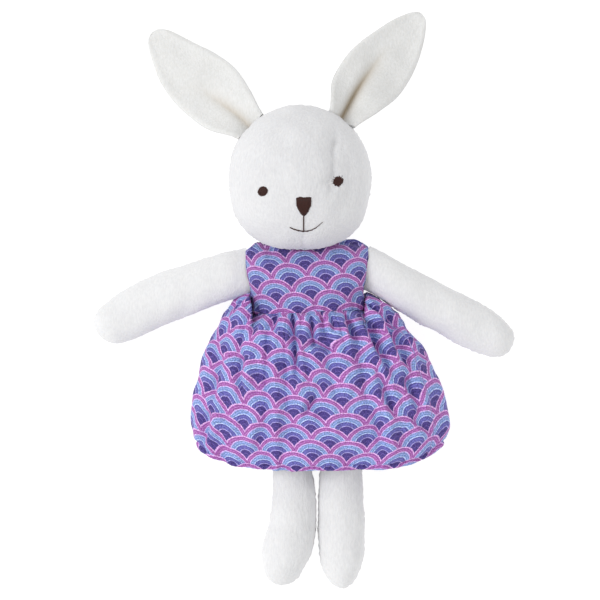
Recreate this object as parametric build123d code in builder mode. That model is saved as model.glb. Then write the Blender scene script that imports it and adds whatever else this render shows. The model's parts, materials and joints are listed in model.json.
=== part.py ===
from build123d import *

# A plush bunny doll in a sleeveless gathered dress, lying on its back.
#
# Millimetres. The floor is z = 0, +Z is the front of the doll and +Y runs from the waist to the head.
# The origin is on the floor, under the waist seam of the dress. Every velour cover is a thin shell
# in two halves that meet at its seam, and the filling is a solid of its own inside it.

import os
from math import cos, radians, sin

# Cloth and clearances
VELOUR = 1.2  # wall of a velour cover
DRESS = 1.3  # wall of the fitted bodice
GATHERS = 1.6  # wall of the skirt, which stands for cotton in gathers
GAP = 0.4  # between pieces that move apart
SLIP = 0.15  # between layers that lie on each other
STITCHES = 0.9  # height of embroidery above the velour

# Head: a round cushion, flattened at the back
HEAD = (-6.2, 82.2, 37.5)
HEAD_RADIUS = 44.5
HEAD_HALF_DEPTH = 39.0
CHIN_SPACE = 1.2  # hollow that the head presses into the chest
NECK_TILT = 9.0  # how far the head has room to lean to each side, in degrees

# Face
EYE_RADIUS = 3.0
EYES = {"left": (-29.6, 74.3), "right": (17.6, 80.0)}
NOSE_TOP = (-3.9, 71.0)
NOSE_WIDTH = 8.8
NOSE_HEIGHT = 11.9
NOSE_SHOULDER = (0.42, 0.35)  # where its sides turn in, as parts of its width and height
MOUTH_LOW = (-4.6, 49.2)
SMILE_ENDS = ((-12.6, 51.6), (7.8, 55.1))

# Ears: flat double layers that droop from the top of the head
EAR_ANGLES = {"left": 135.0, "right": 53.8}
EAR_ROOT = 46.2  # from the middle of the head to the fold
EAR_LENGTH = 87.5
EAR_DROOP = 23.4
EAR_ROOT_HALF_WIDTH = 9.5
EAR_HALF_WIDTH = 20.3
EAR_SHAPE = ((0.25, 0.86), (0.5, 1.0), (0.8, 0.72))  # parts of its length and of its half width
EAR_LAYER = 2.0

# Torso, from the hips to the shoulders: y, middle x, half width, half depth
TORSO_Z = 20.5
TORSO_FLOOR = 2.6
TORSO_SECTIONS = (
    (-34.0, 2.0, 27.0, 16.0),
    (-17.0, 1.0, 32.0, 20.0),
    (2.0, -1.0, 33.0, 21.5),
    (22.0, -2.0, 35.5, 20.0),
    (35.0, -2.0, 35.5, 14.0),
    (39.5, -2.0, 31.0, 9.0),
)
BACK_SEAM_X = -2.0
NECK = (-4.0, 44.5, 20.0)
NECK_RADIUS = 8.0

# Dress
WAIST = 2.0
BODICE_EASE = 0.2
NECKLINE_HALF_WIDTH = 22.0
NECKLINE_HALF_DEPTH = 10.0
TAPE_SIZE = (12.0, 18.0, 0.6)
TAPE_Y = 13.0
SKIRT_Z = 20.5
# From the waist to the hem: y, middle x, half width, half depth
SKIRT_SECTIONS = (
    (WAIST, -1.0, 36.0, 24.0),
    (-5.0, 0.5, 50.0, 28.0),
    (-24.0, 2.0, 66.0, 31.0),
    (-50.0, 5.0, 77.0, 32.0),
    (-76.0, 7.0, 81.0, 30.0),
    (-98.0, 7.0, 74.0, 26.0),
)
LABEL_SIZE = (12.0, 14.0, 0.5)
LABEL_CENTRE = (-38.8, -16.0, 20.5)

# Arms: shoulder, tip and radii
SHOULDERS = {"left": (-46.6, 20.2, 22.0), "right": (43.0, 23.3, 22.0)}
ARM_TIPS = {"left": (-123.0, -9.3, 11.6), "right": (115.2, -16.8, 12.6)}
ARM_TIP_RADIUS = {"left": 11.5, "right": 12.5}
ARM_ROOT_RADIUS = 6.0
ARM_ROOT_START = 2.0
ARM_SHOULDER_RADIUS = 13.2
ARM_SHOULDER_AT = 15.0
SHOULDER_BALL = 4.6

# Legs: hip, foot and radii
HIPS = {"left": (-12.3, -48.0, 17.0), "right": (18.3, -48.0, 17.0)}
FEET = {"left": (-13.2, -155.6, 16.4), "right": (20.2, -158.9, 14.9)}
FOOT_RADIUS = {"left": 16.3, "right": 14.8}
HIP_RADIUS = 12.0
ANKLE_RADIUS = 12.8
ANKLE_PART = 0.55  # where the leg starts to swell into the foot, as a part of its length
HIP_SEAM_ANGLE = 22.0
HIP_SEAM_HALF_LENGTH = 27.0
HIP_SEAM_WALL = 1.0


def save(piece, name):
    """Labels a finished piece and writes it as its own file."""
    piece.part.label = name
    export_step(piece.part, f"parts/{name}.step")


def rise(height):
    """Horizontal plane that keeps what is above a height."""
    return Plane.XY.offset(height)


def beyond(y):
    """Upright plane across the doll that keeps what is nearer to the head."""
    return Plane(origin=(0, y, 0), x_dir=(1, 0, 0), z_dir=(0, 1, 0))


def cushion(grow, floor):
    """Round head cushion, larger than the cover by grow and flattened at a floor height."""
    radius = HEAD_RADIUS + grow
    half_depth = HEAD_HALF_DEPTH + grow
    with BuildPart() as solid:
        Sphere(radius)
        scale(by=(1, 1, half_depth / radius))
        split(bisect_by=rise(floor - HEAD[2]), keep=Keep.TOP)
    return solid.part.moved(Location(HEAD))


def ball(centre, radius):
    """Plain ball, for the round joints between limbs and body."""
    with BuildPart() as solid:
        with Locations(centre):
            Sphere(radius)
    return solid.part


def head_rooms(grow):
    """Space that the head needs as it leans from side to side on the neck, with a margin."""
    hinge = Axis(NECK, (0, 0, 1))
    return [cushion(grow, 0).rotate(hinge, tilt) for tilt in (-NECK_TILT, 0, NECK_TILT)]


def body_loft(sections, middle_z, grow, floor, longer):
    """Solid through oval sections along the body, flattened at a floor height.

    Its two end sections are moved outwards by longer.
    """
    lowest = min(section[0] for section in sections)
    highest = max(section[0] for section in sections)
    with BuildPart() as solid:
        for y, x, half_width, half_depth in sections:
            end = {lowest: y - longer, highest: y + longer}.get(y, y)
            with BuildSketch(Plane(origin=(x, end, middle_z), x_dir=(1, 0, 0), z_dir=(0, 1, 0))):
                Ellipse(half_width + grow, half_depth + grow)
        loft()
        split(bisect_by=rise(floor), keep=Keep.TOP)
    return solid.part


def limb_axis(start, end):
    """Plane with its x axis along a limb and its z axis towards the front of the doll."""
    along = (Vector(*end) - Vector(*start)).normalized()
    across = Vector(0, 0, 1).cross(along).normalized()
    return Plane(origin=start, x_dir=along, z_dir=along.cross(across))


def turned(plane, side, cap, root=None):
    """Solid turned about a limb's axis, from its root to its tip.

    side lists two or more points of the smooth side with the tangents at its ends, cap is the round
    tip as three points, and root is a round root as three points, or None for a flat one.
    """
    points, tangents = side
    with BuildPart() as solid:
        with BuildSketch(plane):
            with BuildLine():
                Spline(*points, tangents=tangents)
                ThreePointArc(*cap)
                if root:
                    ThreePointArc(*root)
                    Line(root[0], cap[2])
                else:
                    Polyline(points[0], (points[0][0], 0), cap[2])
            make_face()
        revolve(axis=Axis(plane.origin, plane.x_dir))
    return solid.part


def round_end(middle, radius, outwards):
    """Quarter circle about a point on the axis, from the side of a limb to its end."""
    slant = radius * cos(radians(45))
    side = (middle, radius)
    halfway = (middle + outwards * slant, slant)
    end = (middle + outwards * radius, 0)
    return (side, halfway, end)


def arm_solid(side, inset):
    """Arm from its narrow root to its round tip, smaller than the cover by inset."""
    plane = limb_axis(SHOULDERS[side], ARM_TIPS[side])
    length = (Vector(*ARM_TIPS[side]) - Vector(*SHOULDERS[side])).length
    tip = ARM_TIP_RADIUS[side] - inset
    shoulder = (ARM_SHOULDER_AT, ARM_SHOULDER_RADIUS - inset)
    elbow = (length / 2, (ARM_SHOULDER_RADIUS + ARM_TIP_RADIUS[side]) / 2 - inset)
    points = ((ARM_ROOT_START + inset, ARM_ROOT_RADIUS - inset), shoulder, elbow, (length, tip))
    return turned(plane, (points, ((0.6, 1), (1, 0))), round_end(length, tip, 1))


def leg_solid(side, inset):
    """Leg from its round hip to its foot, smaller than the cover by inset."""
    plane = limb_axis(HIPS[side], FEET[side])
    length = (Vector(*FEET[side]) - Vector(*HIPS[side])).length
    hip = HIP_RADIUS - inset
    foot = FOOT_RADIUS[side] - inset
    points = ((0, hip), (length * ANKLE_PART, ANKLE_RADIUS - inset), (length, foot))
    root = tuple(reversed(round_end(0, hip, -1)))
    return turned(plane, (points, ((1, 0), (1, 0))), round_end(length, foot, 1), root)


def covers(outer, inner, hollows, seam, names):
    """Front and back cover: two halves of one shell that meet at the seam plane."""
    for name, kept in zip(names, (Keep.TOP, Keep.BOTTOM)):
        with BuildPart() as cover:
            add(outer)
            split(bisect_by=seam, keep=kept)
            add(inner, mode=Mode.SUBTRACT)
            for hollow in hollows:
                add(hollow, mode=Mode.SUBTRACT)
        save(cover, name)


def filling(inner, hollows, name):
    """Fibre filling: the space inside a cover."""
    with BuildPart() as fibre:
        add(inner)
        for hollow in hollows:
            add(hollow, mode=Mode.SUBTRACT)
    save(fibre, name)


def make_head():
    """Face panel, back panel and filling of the head."""
    neck_room = ball(NECK, NECK_RADIUS + GAP)
    outer = cushion(0, 0)
    inner = cushion(-VELOUR, VELOUR)
    covers(outer, inner, [neck_room], rise(HEAD[2]), ("face_panel", "head_back_panel"))
    filling(inner, [ball(NECK, NECK_RADIUS + GAP + VELOUR)], "head_filling")


def stitch_layer():
    """Thin layer on the face that holds the embroidery."""
    with BuildPart() as layer:
        add(cushion(STITCHES, HEAD[2]))
        add(cushion(0, 0), mode=Mode.SUBTRACT)
    return layer.part


def stitched(outline, name):
    """Embroidery: a flat outline projected onto the face as raised stitches."""
    with BuildPart() as stitches:
        extrude(outline, amount=2 * HEAD_HALF_DEPTH, dir=(0, 0, 1))
        add(stitch_layer(), mode=Mode.INTERSECT)
    save(stitches, name)


def make_embroidery():
    """Eyes, nose and mouth, all in satin and stem stitch."""
    for side, centre in EYES.items():
        with BuildSketch(rise(HEAD[2])) as eye:
            with Locations(centre):
                Circle(EYE_RADIUS)
        stitched(eye.sketch, f"eye_{side}")

    x, top = NOSE_TOP
    with BuildSketch(rise(HEAD[2])) as nose:
        with BuildLine():
            edge = Spline(
                (x + NOSE_WIDTH / 2, top),
                (x + NOSE_WIDTH * NOSE_SHOULDER[0], top - NOSE_HEIGHT * NOSE_SHOULDER[1]),
                (x, top - NOSE_HEIGHT),
            )
            mirrored = mirror(edge, about=Plane.YZ.offset(x))
            Line(edge @ 0, (x - NOSE_WIDTH / 2, top))
        make_face()
    stitched(nose.sketch, "nose")

    with BuildSketch(rise(HEAD[2])) as mouth:
        with BuildLine():
            Line((x, top - NOSE_HEIGHT - SLIP), MOUTH_LOW)
            ThreePointArc(SMILE_ENDS[0], MOUTH_LOW, SMILE_ENDS[1])
        trace(line_width=STITCHES)
    stitched(mouth.sketch, "mouth")


def make_ears():
    """Front and back layer of each ear, on a plane that droops outwards from the head."""
    for side, angle in EAR_ANGLES.items():
        out = Vector(cos(radians(angle)), sin(radians(angle)), 0)
        down = Vector(0, 0, -1)
        along = out * cos(radians(EAR_DROOP)) + down * sin(radians(EAR_DROOP))
        normal = out * sin(radians(EAR_DROOP)) - down * cos(radians(EAR_DROOP))
        plane = Plane(origin=Vector(*HEAD) + out * EAR_ROOT, x_dir=along, z_dir=normal)
        for layer, thickness in (("front", EAR_LAYER), ("back", -EAR_LAYER)):
            with BuildPart() as ear:
                with BuildSketch(plane):
                    with BuildLine():
                        edge = Spline(
                            (0, EAR_ROOT_HALF_WIDTH),
                            *((EAR_LENGTH * part, EAR_HALF_WIDTH * width) for part, width in EAR_SHAPE),
                            (EAR_LENGTH, 0),
                            tangents=((1, 0.4), (0, -1)),
                        )
                        mirror(edge, about=Plane.XZ)
                        Line((0, EAR_ROOT_HALF_WIDTH), (0, -EAR_ROOT_HALF_WIDTH))
                    make_face()
                extrude(amount=thickness)
            save(ear, f"ear_{side}_{layer}")


def make_torso():
    """Neck, torso covers, filling and the seams that close the torso."""
    outer = body_loft(TORSO_SECTIONS, TORSO_Z, 0, TORSO_FLOOR, 0)
    inner = body_loft(TORSO_SECTIONS, TORSO_Z, -VELOUR, TORSO_FLOOR + VELOUR, -VELOUR)
    rooms = [*head_rooms(CHIN_SPACE), ball(NECK, NECK_RADIUS + GAP)]
    covers(outer, inner, rooms, rise(TORSO_Z), ("torso_front", "torso_back"))
    inner_rooms = [*head_rooms(CHIN_SPACE + VELOUR), ball(NECK, NECK_RADIUS + GAP + VELOUR)]
    filling(inner, inner_rooms, "torso_filling")

    with BuildPart() as neck:
        add(ball(NECK, NECK_RADIUS))
        add(cushion(GAP, 0), mode=Mode.SUBTRACT)
    save(neck, "neck_join")

    for side, shoulder in SHOULDERS.items():
        with BuildPart() as seam:
            with Locations(shoulder):
                Sphere(SHOULDER_BALL)
        save(seam, f"shoulder_join_{side}")

    hip_middle = (Vector(*HIPS["left"]) + Vector(*HIPS["right"])) / 2
    start = hip_middle - Vector(HIP_SEAM_HALF_LENGTH, 0, 0)
    radius = HIP_RADIUS + GAP
    with BuildPart() as hip_seam:
        with BuildSketch(Plane(origin=start, x_dir=(0, 1, 0), z_dir=(1, 0, 0))):
            with BuildLine():
                near = CenterArc((0, 0), radius, -HIP_SEAM_ANGLE, 2 * HIP_SEAM_ANGLE)
                far = CenterArc((0, 0), radius + HIP_SEAM_WALL, -HIP_SEAM_ANGLE, 2 * HIP_SEAM_ANGLE)
                Line(near @ 0, far @ 0)
                Line(near @ 1, far @ 1)
            make_face()
        extrude(amount=2 * HIP_SEAM_HALF_LENGTH)
    save(hip_seam, "hip_seam")

    with BuildPart() as label:
        with Locations(LABEL_CENTRE):
            Box(*LABEL_SIZE)
    save(label, "care_label")


def make_limbs():
    """Covers and filling of both arms and both legs."""
    for side in SHOULDERS:
        seam = limb_axis(SHOULDERS[side], ARM_TIPS[side])
        room = ball(SHOULDERS[side], SHOULDER_BALL + GAP)
        inner = arm_solid(side, VELOUR)
        covers(arm_solid(side, 0), inner, [room], seam, (f"arm_{side}_front", f"arm_{side}_back"))
        filling(inner, [ball(SHOULDERS[side], SHOULDER_BALL + GAP + VELOUR)], f"arm_{side}_filling")
    for side in HIPS:
        seam = limb_axis(HIPS[side], FEET[side])
        inner = leg_solid(side, VELOUR)
        covers(leg_solid(side, 0), inner, [], seam, (f"leg_{side}_front", f"leg_{side}_back"))
        filling(inner, [], f"leg_{side}_filling")


def make_bodice():
    """Fitted bodice: one front panel, two back panels and the closure tapes between them."""
    with BuildPart() as shell:
        add(body_loft(TORSO_SECTIONS, TORSO_Z, BODICE_EASE + DRESS, 0, DRESS))
        inner = body_loft(TORSO_SECTIONS, TORSO_Z, BODICE_EASE, DRESS, SLIP)
        for room in (inner, *head_rooms(CHIN_SPACE), ball(NECK, NECK_RADIUS + GAP)):
            add(room, mode=Mode.SUBTRACT)
        with BuildSketch(Plane(origin=(NECK[0], WAIST, TORSO_Z), x_dir=(1, 0, 0), z_dir=(0, 1, 0))):
            Ellipse(NECKLINE_HALF_WIDTH, NECKLINE_HALF_DEPTH)
        extrude(amount=HEAD[1] - WAIST, mode=Mode.SUBTRACT)
        split(bisect_by=beyond(WAIST + SLIP), keep=Keep.TOP)
    with BuildPart() as front:
        add(shell.part)
        split(bisect_by=rise(TORSO_Z), keep=Keep.TOP)
    save(front, "bodice_front")
    for side, kept in (("left", Keep.BOTTOM), ("right", Keep.TOP)):
        with BuildPart() as back:
            add(shell.part)
            split(bisect_by=rise(TORSO_Z), keep=Keep.BOTTOM)
            split(bisect_by=Plane.YZ.offset(BACK_SEAM_X), keep=kept)
        save(back, f"bodice_back_{side}")
    for name, layer in (("loop_tape", 0), ("hook_tape", 1)):
        height = DRESS + TAPE_SIZE[2] * (layer + 0.5)
        with BuildPart() as tape:
            with Locations((BACK_SEAM_X, TAPE_Y, height)):
                Box(*TAPE_SIZE)
        save(tape, name)


def make_skirt():
    """Gathered skirt, open at the waist around the torso and at the hem around the legs."""
    with BuildPart() as skirt:
        add(body_loft(SKIRT_SECTIONS, SKIRT_Z, 0, 0, 0))
        add(body_loft(SKIRT_SECTIONS, SKIRT_Z, -GATHERS, GATHERS, SLIP), mode=Mode.SUBTRACT)
    save(skirt, "skirt")


os.makedirs("parts", exist_ok=True)
make_head()
make_embroidery()
make_ears()
make_torso()
make_limbs()
make_bodice()
make_skirt()
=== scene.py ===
"""Looks of the plush bunny doll: velour body, stitched face and gathered cotton dress.

Shapes are worked out in millimetres in the frame's own axes: +Z is the front of the doll, up from
the floor it lies on, and +Y runs from the feet to the ears. Meshes are stored in metres.
"""

import json
from math import cos, pi, radians, sin

import bpy
import numpy as np
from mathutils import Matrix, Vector
from mathutils.bvhtree import BVHTree


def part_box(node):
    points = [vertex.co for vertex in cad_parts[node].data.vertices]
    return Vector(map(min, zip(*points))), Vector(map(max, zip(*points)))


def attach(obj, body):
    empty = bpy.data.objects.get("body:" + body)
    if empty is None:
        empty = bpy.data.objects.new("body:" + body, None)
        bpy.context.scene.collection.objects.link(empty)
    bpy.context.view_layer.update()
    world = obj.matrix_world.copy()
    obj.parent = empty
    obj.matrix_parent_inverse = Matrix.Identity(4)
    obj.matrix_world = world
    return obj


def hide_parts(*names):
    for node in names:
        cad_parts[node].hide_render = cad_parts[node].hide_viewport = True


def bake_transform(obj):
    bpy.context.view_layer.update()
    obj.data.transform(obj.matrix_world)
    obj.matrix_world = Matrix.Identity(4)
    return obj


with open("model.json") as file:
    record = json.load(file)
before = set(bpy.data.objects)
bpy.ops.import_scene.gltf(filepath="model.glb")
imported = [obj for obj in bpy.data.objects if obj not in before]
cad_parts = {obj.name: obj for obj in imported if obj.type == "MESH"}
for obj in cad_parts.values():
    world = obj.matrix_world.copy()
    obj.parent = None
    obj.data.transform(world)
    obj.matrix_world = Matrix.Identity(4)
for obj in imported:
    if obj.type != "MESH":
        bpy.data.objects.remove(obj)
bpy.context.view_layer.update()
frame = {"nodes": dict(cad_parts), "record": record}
scene = bpy.context.scene

MM = 0.001
UP = np.array([0.0, 0.0, 1.0])
JOINTS = {joint["name"]: joint for joint in frame["record"]["behaviour"]["joints"]}
FLOOR = 0.3  # how far soft pieces stay above the floor


# ---------- sizes from the frame


def box_of(*nodes):
    """Lowest and highest corner of some CAD nodes together, in millimetres."""
    corners = [np.array(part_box(node)) / MM for node in nodes]
    low = np.min([corner[0] for corner in corners], axis=0)
    high = np.max([corner[1] for corner in corners], axis=0)
    return low, high


def pivot(joint):
    """Place of a joint, in millimetres."""
    return np.array(JOINTS[joint]["pos_m"]) / MM


# ---------- shape tools


def curve(values, t):
    """Smooth curve through evenly spaced values, read at t from 0 to 1."""
    values = np.asarray(values, float)
    last = len(values) - 1
    place = np.clip(np.asarray(t, float), 0, 1) * last
    index = np.minimum(place.astype(int), last - 1)
    part = place - index
    before = values[np.maximum(index - 1, 0)]
    start = values[index]
    stop = values[index + 1]
    after = values[np.minimum(index + 2, last)]
    slope_in = (stop - before) / 2
    slope_out = (after - start) / 2
    if values.ndim == 2:
        part = part[..., None]
    square = part * part
    cube = square * part
    return (
        start * (2 * cube - 3 * square + 1)
        + slope_in * (cube - 2 * square + part)
        + stop * (3 * square - 2 * cube)
        + slope_out * (cube - square)
    )


def smooth(low, high, value):
    """0 below low, 1 above high, and a smooth step between."""
    t = np.clip((np.asarray(value, float) - low) / (high - low), 0, 1)
    return t * t * (3 - 2 * t)


def hill(distance, width):
    """Round hill: 1 at no distance, falling off over a width."""
    return np.exp(-((distance / width) ** 2))


def length_along(x, y):
    """Length along curves in a plane, up to each of their points."""
    steps = np.hypot(np.diff(x), np.diff(y))
    return np.cumsum(np.insert(steps, 0, 0, axis=-1), axis=-1)


def ripple(points, size, seed, stretch=(1, 1, 1), waves=28):
    """Smooth random height with a typical size, the same in every run."""
    rng = np.random.default_rng(seed)
    directions = rng.normal(size=(waves, 3))
    directions /= np.linalg.norm(directions, axis=1)[:, None]
    numbers = 2 * pi / size * rng.uniform(0.6, 1.4, waves)
    offsets = rng.uniform(0, 2 * pi, waves)
    scaled = np.asarray(points) / np.array(stretch)
    total = np.zeros(scaled.shape[:-1])
    for direction, number, offset in zip(directions, numbers, offsets):
        total += np.cos(scaled @ direction * number + offset)
    return total / np.sqrt(waves / 2)


def grid(*coordinates):
    """Grid of points from coordinates that may vary along only one side of it."""
    return np.stack(np.broadcast_arrays(*coordinates), axis=-1)


def normals_of(points, wrap=False):
    """Unit normals of a grid of points, rows by columns."""
    along = np.gradient(points, axis=0)
    if wrap:
        across = (np.roll(points, -1, axis=1) - np.roll(points, 1, axis=1)) / 2
    else:
        across = np.gradient(points, axis=1)
    normal = np.cross(along, across)
    length = np.linalg.norm(normal, axis=-1, keepdims=True)
    return normal / np.maximum(length, 1e-9)


def boxy(wave, power):
    """A sine or cosine raised to a power with its sign kept: below 1 it squares an oval."""
    return np.sign(wave) * np.abs(wave) ** power


def pile(points, nap=(0, 1, 0)):
    """Uneven surface of short velour pile: tufts, a brushed grain and soft lumps of filling."""
    stretch = 1 + 3.5 * np.abs(np.array(nap, float))
    tufts = 0.04 * ripple(points, 1.5, 11)
    brushed = 0.035 * ripple(points, 2.4, 12, stretch)
    lumps = 0.2 * ripple(points, 19, 13)
    return tufts + brushed + lumps


def grid_faces(rows, columns, wrap=False, start=0):
    """Quads of a grid of vertices, rows by columns."""
    index = start + np.arange(rows * columns).reshape(rows, columns)
    if wrap:
        index = np.concatenate([index, index[:, :1]], axis=1)
    quads = np.stack([index[:-1, :-1], index[1:, :-1], index[1:, 1:], index[:-1, 1:]], axis=-1)
    return quads.reshape(-1, 4)


def make_piece(name, node, shape, material, body, uvs=None, fold=None):
    """Mesh piece that stands for a CAD node, rides on a body and carries its material.

    shape is its vertices and faces. A piece without a body is not attached to one.
    """
    vertices, faces = shape
    mesh = bpy.data.meshes.new(name)
    mesh.from_pydata((np.asarray(vertices) * MM).tolist(), [], [list(map(int, f)) for f in faces])
    mesh.polygons.foreach_set("use_smooth", [True] * len(mesh.polygons))
    if uvs is not None:
        layer = mesh.uv_layers.new(name="Cut")
        loops = np.empty(len(mesh.loops), int)
        mesh.loops.foreach_get("vertex_index", loops)
        layer.data.foreach_set("uv", np.asarray(uvs)[loops].ravel())
    if fold is not None:
        mesh.attributes.new("Fold", "FLOAT", "POINT").data.foreach_set("value", np.ravel(fold))
    mesh.update()
    piece = bpy.data.objects.new(name, mesh)
    scene.collection.objects.link(piece)
    mesh.materials.append(material)
    if body:
        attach(piece, body)
    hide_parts(node)
    return piece


def closed_tube(points):
    """Vertices and faces of a wrapped grid with a point at each end."""
    rows, columns = points.shape[:2]
    vertices = np.concatenate([points.reshape(-1, 3), [points[0].mean(0)], [points[-1].mean(0)]])
    faces = grid_faces(rows, columns, True).tolist()
    first = rows * columns
    last_row = first - columns
    for j in range(columns):
        k = (j + 1) % columns
        faces += [[first, j, k], [first + 1, last_row + k, last_row + j]]
    return vertices, faces


def make_filling(body, shape):
    """Fibre filling of a body, as a share of its room."""
    name = f"{body}_filling"
    piece = make_piece(f"{name}_fibre", name, shape, FILLING, body)


def strand(path, radii, sides=8):
    """Vertices and faces of one thread along a path, with closed ends."""
    path = np.asarray(path, float)
    tangents = np.gradient(path, axis=0)
    tangents /= np.linalg.norm(tangents, axis=1)[:, None]
    sideways = np.cross(tangents, UP)
    sideways /= np.maximum(np.linalg.norm(sideways, axis=1)[:, None], 1e-9)
    lift = np.cross(sideways, tangents)
    angles = np.linspace(0, 2 * pi, sides, endpoint=False)
    across = np.cos(angles)[None, :, None] * sideways[:, None]
    upwards = np.sin(angles)[None, :, None] * lift[:, None]
    points = path[:, None] + (across + upwards) * np.asarray(radii)[:, None, None]
    return closed_tube(points)


def gathered(parts):
    """Joins several lists of vertices and faces into one."""
    faces = []
    count = 0
    for part_vertices, part_faces in parts:
        faces += [[int(v) + count for v in face] for face in part_faces]
        count += len(part_vertices)
    return np.concatenate([part[0] for part in parts]), faces


# ---------- materials


class Nodes:
    """Small helper to write a material's nodes as sums."""

    def __init__(self, name):
        self.material = bpy.data.materials.new(name)
        self.material.use_nodes = True
        self.tree = self.material.node_tree
        self.shader = self.tree.nodes["Principled BSDF"]

    def node(self, kind, inputs=(), **settings):
        """Adds a node, with its settings and its inputs by name or number."""
        node = self.tree.nodes.new(kind)
        for key, value in settings.items():
            setattr(node, key, value)
        for key, value in dict(inputs).items():
            self.connect(value, node.inputs[key])
        return node

    def connect(self, value, socket):
        """Links a socket, or sets it to a plain value."""
        if isinstance(value, bpy.types.NodeSocket):
            self.tree.links.new(value, socket)
        else:
            socket.default_value = value

    def sum(self, operation, a, b=0.0, c=0.0):
        """One step of arithmetic."""
        return self.node("ShaderNodeMath", {0: a, 1: b, 2: c}, operation=operation).outputs[0]

    def mix(self, factor, a, b):
        """Blend of two colours."""
        inputs = {0: factor, 6: a, 7: b}
        return self.node("ShaderNodeMix", inputs, data_type="RGBA").outputs[2]

    def place(self, scale=(1, 1, 1)):
        """Coordinates on the object, in metres times a scale."""
        where = self.node("ShaderNodeTexCoord").outputs["Object"]
        return self.node("ShaderNodeMapping", {"Vector": where, "Scale": scale}).outputs[0]

    def noise(self, scale, detail=2.0, vector=None, roughness=0.5):
        """Noise value with so many features to the metre."""
        inputs = {"Scale": scale, "Detail": detail, "Roughness": roughness}
        inputs["Vector"] = vector if vector is not None else self.place()
        return self.node("ShaderNodeTexNoise", inputs).outputs["Fac"]

    def bump(self, height, strength, distance, normal=None):
        """Bump from a height."""
        inputs = {"Height": height, "Strength": strength, "Distance": distance}
        if normal is not None:
            inputs["Normal"] = normal
        return self.node("ShaderNodeBump", inputs).outputs["Normal"]

    def finish(self, **sockets):
        """Sets the shader's own sockets, by name with underscores, and returns the material."""
        for key, value in sockets.items():
            self.connect(value, self.shader.inputs[key.replace("_", " ")])
        return self.material


def velour(name, light, shade, nap=(1, 0.3, 1), fold=None):
    """Short brushed pile, grained along its nap; fold is a painted shade colour for creases, mixed
    in where a mesh's Fold attribute is set.
    """
    n = Nodes(name)
    grain = n.noise(1000, 3.0, n.place(nap))
    fibres = n.noise(1700, 2.0)
    patches = n.noise(40, 1.0)
    mottle = n.sum("MULTIPLY_ADD", grain, 0.75, n.sum("MULTIPLY", patches, 0.25))
    tone = n.node("ShaderNodeMapRange", {"Value": mottle, "From Min": 0.36, "From Max": 0.64})
    colour = n.mix(tone.outputs[0], (*shade, 1), (*light, 1))
    # painted shade: the fold colour darkens the cloth where the Fold attribute marks a crease
    if fold:
        creased = n.node("ShaderNodeAttribute", attribute_name="Fold").outputs["Fac"]
        colour = n.mix(creased, colour, (*fold, 1))
    normal = n.bump(grain, 0.35, 0.0009)
    normal = n.bump(fibres, 0.3, 0.0004, normal)
    return n.finish(
        Base_Color=colour,
        Normal=normal,
        Roughness=0.95,
        Specular_IOR_Level=0.12,
        Sheen_Weight=0.2,
        Sheen_Roughness=0.5,
        Sheen_Tint=(1.0, 1.0, 1.0, 1),
        Subsurface_Weight=0.12,
        Subsurface_Radius=(1.0, 0.9, 0.8),
        Subsurface_Scale=0.0015,
    )


def plain_fibre(name, colour, size=900, rough=0.9):
    """Loose or woven fibre in one colour, for pieces that are mostly hidden."""
    n = Nodes(name)
    cloud = n.noise(size, 4.0)
    dark = tuple(0.8 * c for c in colour)
    tone = n.mix(cloud, (*dark, 1), (*colour, 1))
    return n.finish(Base_Color=tone, Normal=n.bump(cloud, 0.5, 0.0006), Roughness=rough)


def thread(name, colour):
    """Satin embroidery thread: two plies, a slight gloss and small changes of tone."""
    n = Nodes(name)
    plies = n.noise(2600, 2.0, n.place((1, 0.3, 1)))
    tone = n.noise(900, 2.0)
    dark = tuple(0.55 * c for c in colour)
    base = n.mix(tone, (*dark, 1), (*tuple(1.35 * c for c in colour), 1))
    return n.finish(
        Base_Color=base,
        Normal=n.bump(plies, 0.5, 0.0002),
        Roughness=0.45,
        Specular_IOR_Level=0.28,
        Sheen_Weight=0.05,
        Sheen_Roughness=0.3,
    )


# The print: rows of overlapping fans, paler on the reverse. Sizes are in metres on the cut cloth.
PALE_REVERSE = (0.42, 0.38, 0.60)
PALE_SHARE = 0.62
FAN_PITCH = 0.0219
FAN_ROW = 0.00913
FAN_RADIUS = 0.0131
# Edge of each band as a part of the fan's radius, from the middle out, and its colour
FAN_BANDS = (
    (0.00, (0.081, 0.056, 0.247)),
    (0.13, (0.149, 0.102, 0.355)),
    (0.155, (0.077, 0.052, 0.236)),
    (0.325, (0.402, 0.350, 0.704)),
    (0.365, (0.133, 0.123, 0.414)),
    (0.445, (0.168, 0.164, 0.473)),
    (0.475, (0.118, 0.108, 0.385)),
    (0.545, (0.523, 0.614, 0.908)),
    (0.585, (0.205, 0.297, 0.612)),
    (0.655, (0.317, 0.409, 0.729)),
    (0.685, (0.226, 0.307, 0.612)),
    (0.750, (0.623, 0.478, 0.840)),
    (0.790, (0.378, 0.118, 0.404)),
    (0.855, (0.462, 0.196, 0.488)),
    (0.880, (0.348, 0.102, 0.385)),
    (0.945, (0.724, 0.424, 0.781)),
)


def fan_row(n, u, v, row):
    """Distance from the fan's centre, as a part of its radius, for one row of fans."""
    down = n.sum("SUBTRACT", v, n.sum("MULTIPLY", row, FAN_ROW))
    odd = n.sum("FLOORED_MODULO", row, 2.0)
    shifted = n.sum("SUBTRACT", u, n.sum("MULTIPLY", odd, FAN_PITCH / 2))
    aside = n.sum("WRAP", shifted, FAN_PITCH / 2, -FAN_PITCH / 2)
    square = n.sum("ADD", n.sum("MULTIPLY", aside, aside), n.sum("MULTIPLY", down, down))
    return n.sum("DIVIDE", n.sum("SQRT", square), FAN_RADIUS)


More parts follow.
